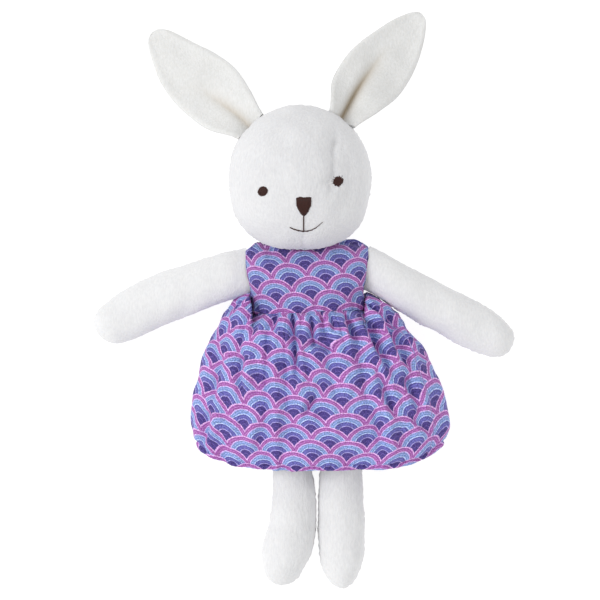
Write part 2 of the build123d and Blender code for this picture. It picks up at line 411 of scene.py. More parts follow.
def printed_cotton(name, strength=1.0):
    """Plain weave printed with rows of overlapping fans; strength below 1 darkens the whole print
    as painted shade.
    """
    n = Nodes(name)
    cut = n.node("ShaderNodeUVMap", uv_map="Cut").outputs[0]
    wobble = n.node("ShaderNodeTexNoise", {"Vector": cut, "Scale": 420.0, "Detail": 2.0})
    shift = n.node(
        "ShaderNodeVectorMath",
        {0: wobble.outputs["Color"], 1: (0.0007, 0.0007, 0.0), 2: cut},
        operation="MULTIPLY_ADD",
    )
    parts = n.node("ShaderNodeSeparateXYZ", {0: shift.outputs[0]})
    u = parts.outputs[0]
    v = parts.outputs[1]
    lowest = n.sum("CEIL", n.sum("DIVIDE", n.sum("SUBTRACT", v, FAN_RADIUS), FAN_ROW))
    near = fan_row(n, u, v, lowest)
    for step in (1.0, 2.0):
        covered = n.sum("LESS_THAN", near, 1.0)
        behind = fan_row(n, u, v, n.sum("ADD", lowest, step))
        kept = n.sum("MULTIPLY", near, covered)
        shown = n.sum("MULTIPLY", behind, n.sum("SUBTRACT", 1.0, covered))
        near = n.sum("ADD", kept, shown)
    ramp = n.node("ShaderNodeValToRGB", {0: near})
    ramp.color_ramp.interpolation = "CONSTANT"
    points = ramp.color_ramp.elements
    points.remove(points[1])
    points[0].position = 0.0
    points[0].color = (*FAN_BANDS[0][1], 1)
    for edge, colour in FAN_BANDS[1:]:
        points.new(edge).color = (*colour, 1)
    dashes = n.noise(1250.0, 1.0, cut)
    # strength scales the speckled print colour down: painted shade where it is below 1
    shaded_ink_range = {"From Min": 0.32, "From Max": 0.68, "To Min": 0.62 * strength, "To Max": 1.42 * strength}
    speckle_and_shade = n.node("ShaderNodeMapRange", {"Value": dashes, **shaded_ink_range}).outputs[0]
    scaled = {0: ramp.outputs[0], "Scale": speckle_and_shade}
    shaded_print = n.node("ShaderNodeVectorMath", scaled, operation="SCALE")
    reverse = n.node("ShaderNodeAttribute", attribute_name="Fold").outputs["Fac"]
    colour = n.mix(n.sum("MULTIPLY", reverse, PALE_SHARE), shaded_print.outputs[0], (*PALE_REVERSE, 1))
    weft = n.node("ShaderNodeTexWave", {"Vector": cut, "Scale": 500.0}, bands_direction="X")
    warp = n.node("ShaderNodeTexWave", {"Vector": cut, "Scale": 500.0}, bands_direction="Y")
    weave = n.sum("ADD", weft.outputs["Fac"], warp.outputs["Fac"])
    normal = n.bump(weave, 0.25, 0.0001)
    normal = n.bump(n.noise(260, 3.0), 0.18, 0.0006, normal)
    return n.finish(
        Base_Color=colour,
        Normal=normal,
        Roughness=0.82,
        Specular_IOR_Level=0.25,
        Sheen_Weight=0.12,
        Sheen_Roughness=0.5,
    )


VELOUR = velour("velour", (0.76, 0.76, 0.77), (0.69, 0.69, 0.705))
# painted light: the limbs' velour is the head's cloth made brighter, to lift their shading
LIT_LIMB_VELOUR = velour("limb_velour_painted_light", (0.81, 0.81, 0.815), (0.74, 0.74, 0.75))
# fold is a brown painted shade for the ears' creases
EAR_VELOUR = velour(
    "ear_velour", (0.77, 0.77, 0.765), (0.70, 0.70, 0.685), nap=(1, 0.4, 1), fold=(0.46, 0.38, 0.27)
)
SEAM_VELOUR = plain_fibre("seam_velour", (0.72, 0.72, 0.72))
FILLING = plain_fibre("filling", (0.86, 0.86, 0.85), 260)
THREAD = thread("brown_thread", (0.046, 0.0135, 0.0095))
COTTON = printed_cotton("printed_cotton")
# painted shade: a darker copy of the print cotton, standing in for the chin's shadow on the bodice
SHADED_BODICE_COTTON = printed_cotton("bodice_cotton_painted_shade", 0.87)  # shaded by the chin
TAPE = plain_fibre("closure_tape", (0.78, 0.78, 0.78), 1600)
RIBBON = plain_fibre("label_ribbon", (0.82, 0.82, 0.80), 1200, 0.6)


# ---------- camera, light and floor

VIEW_WIDTH = 373.7  # what the picture spans, at the height of the doll's outline
VIEW_MIDDLE = (-6.2, 6.2)
VIEW_HEIGHT = 3000.0
OUTLINE_Z = 20.0
SENSOR = 36.0


def add_light(name, place, aim, size, power):
    """Square soft light at a place, aimed at a point, in millimetres."""
    data = bpy.data.lights.new(name, "AREA")
    data.size = size * MM
    data.energy = power
    lamp = bpy.data.objects.new(name, data)
    lamp.location = Vector(place) * MM
    lamp.rotation_euler = (Vector(aim) - Vector(place)).to_track_quat("-Z", "Y").to_euler()
    scene.collection.objects.link(lamp)


def set_the_stage():
    """Camera straight above the doll, soft light from the left and the right, and a white floor."""
    data = bpy.data.cameras.new("camera")
    data.sensor_width = SENSOR
    data.lens = SENSOR * VIEW_HEIGHT / VIEW_WIDTH
    data.clip_end = 20.0
    camera = bpy.data.objects.new("camera", data)
    camera.location = Vector((*VIEW_MIDDLE, OUTLINE_Z + VIEW_HEIGHT)) * MM
    scene.collection.objects.link(camera)
    scene.camera = camera

    add_light("key", (-2950, 200, 2850), (0, 0, 20), 1700, 72.0)
    add_light("fill", (3000, -1400, 3400), (0, 0, 20), 3200, 24.0)
    world = bpy.data.worlds.new("studio")
    world.use_nodes = True
    background = world.node_tree.nodes["Background"].inputs
    background["Color"].default_value = (1, 1, 1, 1)
    background["Strength"].default_value = 0.74
    scene.world = world
    scene.view_settings.view_transform = "Standard"

    n = Nodes("floor")
    white = n.finish(
        Base_Color=(0.36, 0.36, 0.36, 1),
        Roughness=0.9,
        Specular_IOR_Level=0.0,
        Emission_Color=(1, 1, 1, 1),
        Emission_Strength=0.80,
    )
    mesh = bpy.data.meshes.new("floor")
    half = 4.0
    corners = [(-half, -half, 0), (half, -half, 0), (half, half, 0), (-half, half, 0)]
    mesh.from_pydata(corners, [], [(0, 1, 2, 3)])
    mesh.materials.append(white)
    floor = bpy.data.objects.new("floor", mesh)
    scene.collection.objects.link(floor)


# ---------- head

HEAD_LOW, HEAD_HIGH = box_of("face_panel", "head_back_panel")
HEAD = np.array([(HEAD_LOW[0] + HEAD_HIGH[0]) / 2, (HEAD_LOW[1] + HEAD_HIGH[1]) / 2, 37.5])
HEAD_WIDTH = 44.3
HEAD_HEIGHT = 44.8
HEAD_DEPTH = 38.6
CHEEKS = 0.45  # how much squarer than an oval the lower half is
SEAM_DIP = 0.6
COVER = 1.2  # thickness of velour with its backing
HEAD_GRID = 190
HEAD_ARC = 62.0  # along the cover, from the middle of the head to its seam
FILLING_GAP = 2.6  # from the outside of a cover to its filling
HEAD_CREASE = np.array([(17.0, 114), (14.8, 98), (15.0, 84.5), (12.0, 70)])  # past the right eye
DART_X = -3.7  # the short seam under the chin


def rest_on_floor(points, lift=FLOOR, softness=0.7):
    """Points pressed flat where they would go through the floor."""
    over = (points[..., 2] - lift) / softness
    soft = np.log1p(np.exp(np.minimum(over, 20)))
    pressed = points.copy()
    pressed[..., 2] = lift + softness * np.where(over > 20, over, soft)
    return pressed


def disc(count):
    """Even grid over a round disc: part of the radius and angle of each point."""
    side = np.linspace(-1, 1, count)
    a, b = np.meshgrid(side, side, indexing="ij")
    wide = np.abs(a) > np.abs(b)
    safe_a = np.where(wide, a, 1)
    safe_b = np.where(wide | (b == 0), 1, b)
    radius = np.where(wide, a, b)
    angle = np.where(wide, pi / 4 * b / safe_a, pi / 2 - pi / 4 * a / safe_b)
    return radius, angle


def head_form(count, front, inset):
    """Half of the head's cushion, without its creases."""
    radius, angle = disc(count)
    x = np.cos(angle) * radius
    y = np.sin(angle) * radius
    part = np.hypot(x, y)
    x = x / np.maximum(part, 1e-9)
    y = y / np.maximum(part, 1e-9)
    power = 2 + CHEEKS * smooth(0.0, 0.6, -y)
    bulge = (np.abs(x) ** power + np.abs(y) ** power) ** (-1 / power)
    reach = bulge * np.sin(part * pi / 2)
    height = (HEAD_DEPTH - inset) * np.cos(part * pi / 2) * (1 if front else -1)
    points = grid(
        HEAD[0] + (HEAD_WIDTH - inset) * reach * x,
        HEAD[1] + (HEAD_HEIGHT - inset) * reach * y,
        HEAD[2] + height,
    )
    return points, part


def outward(points, middle, wrap=False):
    """Unit normals that point away from a middle."""
    normal = normals_of(points, wrap)
    away = np.sum(normal * (points - middle), axis=-1).mean()
    return normal if away > 0 else -normal


def distance_to_line(x, y, line):
    """Distance in plan from points to a line of corners, and how far along it each one lies."""
    best = np.full(x.shape, 1e9)
    along = np.zeros(x.shape)
    for number, (start, stop) in enumerate(zip(line[:-1], line[1:])):
        run = stop - start
        part = ((x - start[0]) * run[0] + (y - start[1]) * run[1]) / (run @ run)
        part = np.clip(part, 0, 1)
        away = np.hypot(x - start[0] - part * run[0], y - start[1] - part * run[1])
        nearer = away < best
        best = np.where(nearer, away, best)
        along = np.where(nearer, (number + part) / (len(line) - 1), along)
    return best, along


def face_relief(points):
    """Height of the face's creases, dart and slack side, before the pile."""
    x = points[..., 0]
    y = points[..., 1]
    away, along = distance_to_line(x, y, HEAD_CREASE)
    ends = smooth(0, 0.2, along) * smooth(0, 0.2, 1 - along) * 0.75 + 0.25
    uneven = 1 + 0.15 * ripple(points, 9, 21)
    crease = -(2.7 * hill(away, 5.5) + 0.8 * hill(away, 2.0)) * ends * uneven
    from_middle = np.hypot(x - HEAD[0], y - HEAD[1])
    slack = -3.0 * smooth(10, 34, x) * smooth(40, 70, y) * smooth(38.2, 31, from_middle)
    from_eye = (x - EYES["right"][0], y - EYES["right"][1])
    eye = np.hypot(*from_eye)
    spokes = np.cos(9 * np.arctan2(from_eye[1], from_eye[0]))
    slack = slack - 0.8 * hill(eye, 4.5) + 0.26 * spokes * hill(eye - 4.4, 1.8)
    dart = -0.5 * hill(x - DART_X, 1.6) * smooth(50, 44, y)
    return crease + slack + dart


def shell(outer, inner, wrap=False):
    """Vertices and faces of the closed solid between two grids of the same size."""
    rows, columns = outer.shape[:2]
    count = rows * columns
    outside = grid_faces(rows, columns, wrap)
    inside = outside[:, ::-1] + count
    index = np.arange(count).reshape(rows, columns)
    if wrap:
        edges = [np.append(index[0], index[0, 0]), np.append(index[-1], index[-1, 0])[::-1]]
    else:
        edges = [index[0], index[:, -1], index[-1][::-1], index[:, 0][::-1]]
    rims = [np.stack([e[1:], e[:-1], e[:-1] + count, e[1:] + count], axis=-1) for e in edges]
    vertices = np.concatenate([outer.reshape(-1, 3), inner.reshape(-1, 3)])
    return vertices, np.concatenate([outside, inside] + rims)


def seam_shape(points, distance, pitch=3.2):
    """Height near a sewn seam: it dips, and the cloth beside it puckers."""
    dip = -SEAM_DIP * hill(distance, 1.3)
    puckers = 0.22 * ripple(points, pitch, 31) * hill(distance, 4.0)
    return dip + puckers


def make_head():
    """Face panel, back panel and filling; returns the face for the embroidery to lie on."""
    face = None
    for name, front in (("face_panel", True), ("head_back_panel", False)):
        points, part = head_form(HEAD_GRID, front, 0)
        normal = outward(points, HEAD)
        height = seam_shape(points, (1 - part) * HEAD_ARC) + pile(points)
        if front:
            height = height + face_relief(points)
        outer = rest_on_floor(points + normal * height[..., None])
        depth = height - 0.3 * pile(points) - COVER
        inner = rest_on_floor(points + normal * depth[..., None], FLOOR + COVER)
        make_piece(f"{name}_velour", name, shell(outer, inner), VELOUR, "head")
        if front:
            quads = grid_faces(HEAD_GRID, HEAD_GRID).tolist()
            face = BVHTree.FromPolygons(outer.reshape(-1, 3).tolist(), quads)
    halves = []
    for front in (True, False):
        points, part = head_form(60, front, FILLING_GAP)
        if front:
            points = points + outward(points, HEAD) * face_relief(points)[..., None]
        halves.append(rest_on_floor(points, FLOOR + 2 * COVER))
    make_filling("head", shell(*halves))
    return face


# ---------- embroidery

EYES = {"left": (-29.0, 72.8), "right": (17.3, 79.0)}
EYE_RADIUS = 3.0
RAGGED = {"left": (), "right": (138, 160, 178, 200, 52)}  # ways in which loose stitches stick out
NOSE_TOP = (-3.9, 69.4)
NOSE_HALF_WIDTH = 4.4
NOSE_HEIGHT = 11.7
THREAD_RADIUS = 0.26
SMILE = (
    (-12.4, 50.6), (-10.0, 49.6), (-7.0, 48.7), (-3.6, 48.3), (-1.0, 48.5),
    (1.3, 49.2), (3.5, 50.4), (5.5, 52.0), (7.9, 54.2),
)


def laid_on(face, x, y):
    """Point on the face under a place in plan."""
    return np.array(face.ray_cast(Vector((x, y, 200.0)), Vector((0, 0, -1)))[0])


def satin(face, start, stop, lift, radius=THREAD_RADIUS):
    """One satin stitch between two places in plan: it dives into the cloth at both ends."""
    steps = 9
    path = []
    for part in np.linspace(0, 1, steps):
        x, y = np.array(start) * (1 - part) + np.array(stop) * part
        rise = lift * (1 - (2 * part - 1) ** 4) - radius * 0.9 * abs(2 * part - 1) ** 6
        path.append(laid_on(face, x, y) + UP * rise)
    return strand(path, np.full(steps, radius), 7)


def embroider(node, threads):
    """Piece of all the stitches that stand for a CAD node."""
    make_piece(f"{node}_stitches", node, gathered(threads), THREAD, "head")


def make_eyes(face):
    """Round satin-stitched eyes; the right one pulls the cloth a little."""
    for side, (x, y) in EYES.items():
        rng = np.random.default_rng(5 if side == "left" else 6)
        rough = 0.08 if side == "left" else 0.28
        threads = []
        for place in np.linspace(-0.94, 0.94, 15):
            half = EYE_RADIUS * np.sqrt(1 - place**2)
            across = x + EYE_RADIUS * place
            top = y + half + rng.normal(0, rough)
            low = y - half - rng.normal(0, rough)
            swell = 0.55 * np.sqrt(1 - place**2) + 0.1
            threads.append(satin(face, (across + 0.25, top), (across - 0.25, low), swell))
        for way in RAGGED[side]:
            way = radians(way)
            ends = [(x + out * cos(way), y + out * sin(way)) for out in (2.3, 4.3)]
            threads.append(satin(face, *ends, 0.2, 0.1))
        embroider(f"eye_{side}", threads)


def make_nose(face):
    """Shield-shaped satin nose with a notch at the middle of its top."""
    rng = np.random.default_rng(8)
    x, top = NOSE_TOP
    threads = []
    for place in np.linspace(-1, 1, 19):
        side = abs(place)
        across = x + NOSE_HALF_WIDTH * place
        low = NOSE_HEIGHT * (1 - 0.5 * side**1.9)
        dip = 0.35 * hill(place, 0.4) + 0.5 * side**6
        start = (across, top - dip + rng.normal(0, 0.12))
        stop = (x + NOSE_HALF_WIDTH * place * 0.96, top - low + rng.normal(0, 0.12))
        threads.append(satin(face, start, stop, 0.75 * np.sqrt(1 - 0.8 * side**2), 0.29))
    embroider("nose", threads)


def stem_stitches(face, line, length, radii):
    """Row of short slanting stitches along a line in plan."""
    line = np.array(line, float)
    fine = curve(line, np.linspace(0, 1, 200))
    run = length_along(*fine.T)
    count = max(2, int(round(run[-1] / length)))
    threads = []
    for number in range(count):
        ends = []
        for place in ((number - 0.25) / count, (number + 1.15) / count):
            reach = np.clip(place, 0, 1) * run[-1]
            ends.append(np.array([np.interp(reach, run, side) for side in fine.T]))
        slant = np.array([0.0, 0.12])
        radius = np.interp((number + 0.5) / count, np.linspace(0, 1, len(radii)), radii)
        threads.append(satin(face, ends[0] + slant, ends[1] - slant, 0.24, radius))
    return threads


def make_mouth(face):
    """Line under the nose and a crooked smile that thins out to one side."""
    x, top = NOSE_TOP
    down = [(x, top - NOSE_HEIGHT + 0.6), (x - 0.1, 53), (x, 48.4)]
    under = stem_stitches(face, down, 2.6, (0.36, 0.4))
    smile = stem_stitches(face, SMILE, 2.7, (0.36, 0.42, 0.36, 0.24, 0.13))
    embroider("mouth", under + smile)


# ---------- ears

EAR_START = -4.0  # inside the head seam
EAR_DROOP = 23.4  # how far the ear's face turns away from straight up, in degrees
EAR_PUFF = 1.9
EAR_DROP = (0.0, 5.0, 11.0, 17.0, 22.4, 27.0, 30.8, 33.4, 34.6)
# Edges on both sides of the ear's middle line, and the fold that starts at its root:
# its line, depth, width, how far it fades out, how it leans over and how strong its painted crease
# shade is
EARS = {
    "left": dict(
        reach=84.0,
        low=(-11.5, -16.5, -19.7, -18.0, -13.8, -10.4, -7.4, -3.6, 1.2),
        high=(10.5, 19.0, 21.8, 21.8, 19.0, 14.5, 10.2, 6.0, 1.2),
        valley=(0.0, 0.3, 2.0, 4.0, 6.0),
        depth=3.4, width=5.0, fade=44.0, lean=0.4, crease_shade=0.5,
    ),
    "right": dict(
        reach=82.0,
        low=(-9.5, -15.3, -19.2, -18.9, -16.2, -12.4, -8.2, -4.4, 0.3),
        high=(9.5, 18.8, 21.6, 20.0, 16.0, 12.0, 7.8, 4.0, 0.3),
        valley=(1.0, 3.0, 4.2, 4.2, 4.4),
        depth=7.4, width=4.1, fade=56.0, lean=1.8, crease_shade=1.0,
    ),
}
EAR_ROWS = 150
EAR_COLUMNS = 84


def make_ear(side):
    """Front and back layer of a soft ear, pinched at its root and sewn all round."""
    ear = EARS[side]
    base = pivot(f"ear_{side}_fold")
    out = base - HEAD
    out[2] = 0
    out /= np.linalg.norm(out)
    over = np.array([-out[1], out[0], 0])
    droop = radians(EAR_DROOP)
    normal = out * sin(droop) + UP * cos(droop)

    sigma = np.linspace(0, 0.988, EAR_ROWS)[:, None]
    part = np.sin(sigma * pi / 2)
    u = EAR_START + (ear["reach"] - EAR_START) * part
    low = curve(ear["low"], sigma)
    high = curve(ear["high"], sigma)
    spread = np.linspace(-1, 1, EAR_COLUMNS)
    spread = 0.55 * np.sin(spread * pi / 2) + 0.45 * spread
    middle = (low + high) / 2
    half = (high - low) / 2
    v = middle + half * spread
    u = u + 0 * v
    drop = curve(EAR_DROP, np.clip(u / ear["reach"], 0, 1))

    line = curve(ear["valley"], np.clip(u / ear["fade"], 0, 1))
    away = v - line
    fading = 1 - smooth(0.25, 1.0, u / ear["fade"])
    widening = 1 + 0.5 * smooth(0.2, 1, u / ear["fade"])
    sharp = np.where(away > 0, ear["width"] * 0.7, ear["width"]) * widening
    valley = -ear["depth"] * np.exp(-np.abs(away / sharp) ** 1.5) * fading
    # painted shade along the crease: strongest on its line, fading out with it
    crease_shade = ear["crease_shade"] * fading * np.exp(-np.abs(away / (0.55 * sharp)) ** 1.3)
    pinch = 3.6 * (1 - smooth(0, 30, u)) * np.abs(away / np.maximum(half, 1)) ** 1.5
    lean = ear["lean"] * fading * np.tanh(-away / 4)
    rolled = 1.2 * smooth(0.45, 1.0, np.abs(spread)) * smooth(0.15, 0.5, part)
    waves = 0.5 * ripple(grid(u, v, 0.0), 26, 41 if side == "left" else 42)
    rise = valley + pinch + lean + rolled * 0.6 + waves

    edge = np.sqrt(np.clip(1 - np.abs(spread) ** 7, 0, 1)) * np.sqrt(np.clip(1 - part**26, 0, 1))
    inside = np.minimum((1 - np.abs(spread)) * half, (ear["reach"] - u) * 0.8)
    welt = 0.35 * hill(inside - 2.2, 1.6) - 0.35 * smooth(3, 9, inside)
    puff = (EAR_PUFF + welt) * edge

    middle_sheet = base + out * u[..., None] + over * v[..., None]
    middle_sheet = middle_sheet - UP * drop[..., None] + normal * rise[..., None]
    for way, name, roughness, bottom in ((1, "front", 0.8, FLOOR + 0.5), (-1, "back", 0.5, FLOOR)):
        height = puff + edge * pile(middle_sheet, out) * roughness
        outer = middle_sheet + normal * (way * (height + 0.12))[..., None]
        inner = middle_sheet + normal * (way * 0.1)
        outer = rest_on_floor(outer, bottom, 0.4)
        inner = rest_on_floor(inner, FLOOR + 0.3 + 0.1 * way, 0.4)
        node = f"ear_{side}_{name}"
        shape = shell(outer, inner)
        piece = make_piece(
            f"{node}_velour", node, shape, EAR_VELOUR, None, fold=[crease_shade, crease_shade]
        )
        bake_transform(piece)


# ---------- arms and legs

# Along each limb, evenly in a quarter turn towards its tip: both edges, half depth and height
LIMBS = {
    "arm_left": dict(
        joint="arm_left_raise", heading=201.1, start=-13.0, reach=93.5,
        low=(-15.5, -17.4, -19.1, -19.8, -18.9, -16.2, -12.9, -8.6, -3.5),
        high=(13.0, 12.2, 11.9, 12.0, 12.6, 13.2, 11.4, 5.0, -3.5),
        depth=(7.5, 12.2, 12.9, 12.7, 12.3, 11.6, 10.5, 6.3, 0.4),
        height=(22.5, 21.0, 18.6, 16.2, 14.2, 12.8, 12.0, 11.8, 11.8),
    ),
    "arm_right": dict(
        joint="arm_right_raise", heading=-29.05, start=-13.0, reach=95.2,
        low=(-13.5, -14.1, -15.6, -15.4, -15.0, -14.3, -11.8, -7.6, -1.0),
        high=(12.0, 12.3, 12.7, 13.4, 13.8, 13.4, 11.0, 6.6, -1.0),
        depth=(7.5, 12.2, 12.9, 12.9, 12.6, 12.0, 10.9, 6.4, 0.4),
        height=(22.5, 21.2, 19.0, 16.8, 14.9, 13.5, 12.8, 12.6, 12.6),
    ),
    "leg_left": dict(
        joint="leg_left_spread", heading=-90.48, start=-10.0, reach=124.0,
        low=(-11.0, -11.0, -11.1, -10.5, -12.7, -17.2, -15.9, -11.0, -4.5),
        high=(11.0, 11.5, 12.6, 16.2, 16.8, 15.0, 9.4, 2.6, -4.5),
        depth=(9.5, 12.0, 12.4, 12.9, 14.2, 15.7, 13.8, 8.0, 0.4),
        height=(17.0, 17.0, 16.9, 16.6, 16.5, 16.5, 16.4, 16.4, 16.4),
    ),
    "leg_right": dict(
        joint="leg_right_spread", heading=-89.02, start=-10.0, reach=126.0,
        low=(-11.0, -11.5, -12.3, -14.1, -14.8, -14.3, -11.4, -6.6, -0.8),
        high=(11.0, 12.0, 13.3, 13.7, 14.4, 13.9, 10.8, 5.2, -0.8),
        depth=(9.5, 12.0, 12.4, 12.7, 13.5, 14.4, 12.9, 7.4, 0.4),
        height=(17.0, 16.9, 16.6, 16.0, 15.5, 15.1, 15.0, 14.9, 14.9),
    ),
}
LIMB_END = 0.992  # part of the quarter turn at the last row, which then closes to a point
LIMB_ROWS = 150
LIMB_COLUMNS = 72


def limb_form(shape, rows, angles, inset):
    """Grid along a limb and round it; also how far along it each row lies."""
    base = pivot(shape["joint"])
    heading = radians(shape["heading"])
    out = np.array([cos(heading), sin(heading), 0])
    over = np.array([-out[1], out[0], 0])
    sigma = np.linspace(0, LIMB_END, rows)[:, None]
    u = shape["start"] + (shape["reach"] - inset - shape["start"]) * np.sin(sigma * pi / 2)
    low = curve(shape["low"], sigma)
    high = curve(shape["high"], sigma)
    half = np.maximum((high - low) / 2 - inset, 0.3)
    depth = np.maximum(curve(shape["depth"], sigma) - inset, 0.3)
    height = curve(shape["height"], sigma)
    v = (low + high) / 2 + half * np.cos(angles)
    z = height + depth * np.sin(angles)
    points = base * (1, 1, 0) + out * u[..., None] + over * v[..., None] + UP * z[..., None]
    return points, np.abs(np.sin(angles)) * half, out


def make_limb(name):
    """Front and back cover of a limb with its filling."""
    shape = LIMBS[name]
    for face, first in (("front", 0.0), ("back", pi)):
        turn = np.linspace(first, first + pi, LIMB_COLUMNS)
        points, seam, out = limb_form(shape, LIMB_ROWS, turn, 0)
        heights = curve(shape["height"], np.linspace(0, LIMB_END, LIMB_ROWS))
        middle = points.mean(axis=1, keepdims=True) * (1, 1, 0) + UP * heights[:, None, None]
        normal = normals_of(points)
        if np.sum(normal * (points - middle)) < 0:
            normal = -normal
        height = seam_shape(points, seam) + pile(points, out)
        outer = rest_on_floor(points + normal * height[..., None])
        inner = limb_form(shape, LIMB_ROWS, turn, COVER)[0]
        inner = inner + normal * (0.8 * seam_shape(points, seam))[..., None]
        inner = rest_on_floor(inner, FLOOR + COVER)
        node = f"{name}_{face}"
        make_piece(f"{node}_velour", node, shell(outer, inner), LIT_LIMB_VELOUR, name)
    around = np.linspace(0, 2 * pi, 40, endpoint=False)
    points = limb_form(shape, 50, around, 2 * COVER)[0]
    make_filling(name, closed_tube(rest_on_floor(points, FLOOR + 2 * COVER)))


# ---------- torso and dress

TORSO_X = -1.0
TORSO_MIDDLE = 20.5  # height of the torso's side seams
TORSO_Y = (-34.0, -22.0, -8.0, 6.0, 20.0, 30.0, 36.0, 39.5)
TORSO_HALF = (27.0, 31.0, 32.5, 33.3, 35.2, 35.6, 34.8, 31.0)
TORSO_DEPTH = (15.5, 19.0, 21.0, 21.3, 20.0, 16.5, 13.0, 8.5)
CLOTH = 0.6


def make_torso():
    """Torso covers and filling, mostly hidden by the dress."""
    rows = 70
    sigma = np.linspace(0, 1, rows)[:, None]
    y = np.interp(sigma, np.linspace(0, 1, len(TORSO_Y)), TORSO_Y)
    closing = np.sqrt(np.clip(1 - smooth(TORSO_Y[0] + 14, TORSO_Y[0], y) ** 3, 0.0004, 1))
    half = np.interp(y, TORSO_Y, TORSO_HALF) * closing
    depth = np.interp(y, TORSO_Y, TORSO_DEPTH) * closing

    def section(turn, inset, least, length=1.0):
        x = TORSO_X + np.maximum(half - inset, least * half) * np.cos(turn)
        z = TORSO_MIDDLE + np.maximum(depth - inset, least * depth) * np.sin(turn)
        return grid(x, length * y, z)

    for name, start in (("torso_front", 0.0), ("torso_back", pi)):
        turn = np.linspace(start, start + pi, 90)
        points = section(turn, 0.0, 0.4)
        normal = points - (TORSO_X, 0, TORSO_MIDDLE)
        normal[..., 1] = 0
        normal /= np.linalg.norm(normal, axis=-1, keepdims=True)
        height = pile(points) * 0.6 - 0.5 * hill(np.abs(np.sin(turn)) * half, 1.4)
        outer = rest_on_floor(points + normal * height[..., None], 2.8)
        inner = rest_on_floor(section(turn, COVER, 0.4), 4.0)
        make_piece(f"{name}_velour", name, shell(outer, inner), VELOUR, "torso")
    points = section(np.linspace(0, 2 * pi, 60, endpoint=False), FILLING_GAP, 0.3, 0.93)
    make_filling("torso", closed_tube(rest_on_floor(points, 5.2)))


BODICE_X = -2.0
BODICE_HALF = (34.8, 36.0, 37.8, 39.6, 41.0)  # half widths at the heights below
BODICE_HALF_Y = (0, 10, 20, 30, 42)
BODICE_TOP_HALF = 39.4
BODICE_COLUMNS = 2500  # to the metre of that cloth
BODICE_LOW = -1.2  # lower edge of the bodice, over the top of the skirt
BODICE_SLOPE = 0.035  # how much its edges rise towards the right
BODICE_BOXY = 0.66  # how square its section is above the waist: 1 would be an oval
ARMHOLE_LOW = 9.0
ARMHOLE_TURN = radians(25.0)
SHOULDER_Y = 43.2
SHOULDER_DROP = 6.2  # how far its outer corner lies lower
NECKLINE_Y = 40.0
NECK_HALF = 17.0
TWIST = radians(4.6)  # how far the bodice and its print turn on the doll
HEAD_GAP = 0.8  # between the bodice and the head that lies on it
LEAN = 0.13  # how far the print leans for each millimetre of height
BODICE_PULL = 0.985  # how much closer the print lies than it would unstretched
FAN_PLACE = (3.4, 8.6)  # middle of one fan on the front of the bodice


def dress_half_width(y):
    """Half width of the bodice at a height."""
    return np.interp(y, BODICE_HALF_Y, BODICE_HALF)


def dress_depth(y):
    """Half depth of the bodice: full at the waist and closed at the shoulders."""
    part = np.clip((y - 8) / 33.4, 0, 1)
    return 22.6 * np.sqrt(np.clip(1 - part**2.7, 0.0, 1)) + 0.9


def under_head(x, y):
    """Height of the underside of the head over a place in plan, or very high beside the head."""
    across = np.abs((x - HEAD[0]) / HEAD_WIDTH)
    along = np.abs((y - HEAD[1]) / HEAD_HEIGHT)
    part = across ** (2 + CHEEKS) + along ** (2 + CHEEKS)
    return np.where(part < 1, HEAD[2] - HEAD_DEPTH * np.sqrt(np.clip(1 - part, 0, 1)), 200.0)


def bodice_grid(turn, rows):
    """Grid of the bodice from its lower edge to its neckline, shoulders and armholes."""
    part = np.linspace(0, 1, rows)[:, None]
    from_side = np.minimum(np.abs(turn % pi), pi - np.abs(turn % pi))
    across = boxy(np.cos(turn), BODICE_BOXY)
    x_top = BODICE_X + BODICE_TOP_HALF * across
    neck = smooth(NECK_HALF - 3, NECK_HALF + 2, np.abs(x_top - BODICE_X))
    top = NECKLINE_Y + (SHOULDER_Y - NECKLINE_Y) * neck
    top = top - SHOULDER_DROP * smooth(0.7, 1.02, np.abs(across)) + BODICE_SLOPE * x_top
    cut = smooth(ARMHOLE_TURN, ARMHOLE_TURN - radians(9), from_side)
    top = top - (top - ARMHOLE_LOW) * cut
    low = BODICE_LOW + BODICE_SLOPE * x_top
    y = low + (top - low) * part
    half = dress_half_width(y)
    depth = dress_depth(y)
    power = 0.95 - (0.95 - BODICE_BOXY) * smooth(2, 16, y)
    x = BODICE_X + half * boxy(np.cos(turn), power)
    x = x + (1 - smooth(0, 12, y))
    z = TORSO_MIDDLE + depth * boxy(np.sin(turn), power)
    return grid(x, y, z), top - y, y - low


def both_sides(u, v):
    """Places on the cut cloth in metres, and 0 on its face and 1 on its reverse."""
    uvs = grid(u, v).reshape(-1, 2) * MM
    return np.concatenate([uvs, uvs]), np.repeat([0.0, 1.0], len(uvs))


